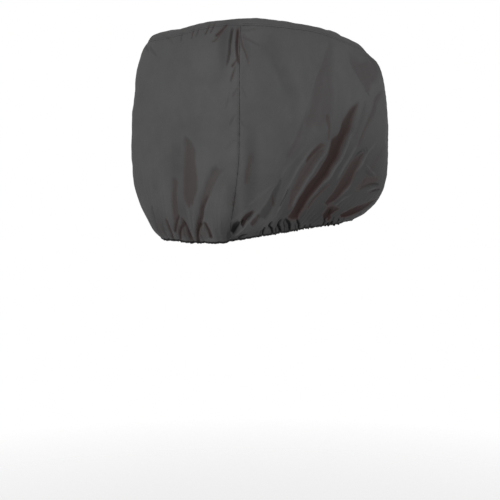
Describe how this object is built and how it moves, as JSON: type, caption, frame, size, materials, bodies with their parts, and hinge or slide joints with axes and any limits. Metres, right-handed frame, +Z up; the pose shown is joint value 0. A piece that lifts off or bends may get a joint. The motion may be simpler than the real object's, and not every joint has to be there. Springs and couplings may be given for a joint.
{
  "type": "boat engine cover",
  "caption": "Fitted cloth hood for a boat engine: a rounded hollow cover sewn from a top panel and wall panels, drawn in at its open hem by an elastic binding.",
  "frame": {"origin": "inner side of the top panel, under its crown, where what is covered holds it up", "axes": "+Z up, +Y towards the bow along the cover's length, +X to starboard"},
  "size_m": [0.5809, 0.8247, 0.6801],
  "materials": {
    "cover_cloth": "charcoal grey coated polyester, plain weave, soft sheen",
    "hem_elastic": "near black elastic binding, matt"
  },
  "bodies": {
    "root": {"top_panel": "cover_cloth", "aft_panel": "cover_cloth", "starboard_panel": "cover_cloth", "fore_panel": "cover_cloth", "port_panel": "cover_cloth", "hem_elastic": "hem_elastic"}
  },
  "joints": []
}
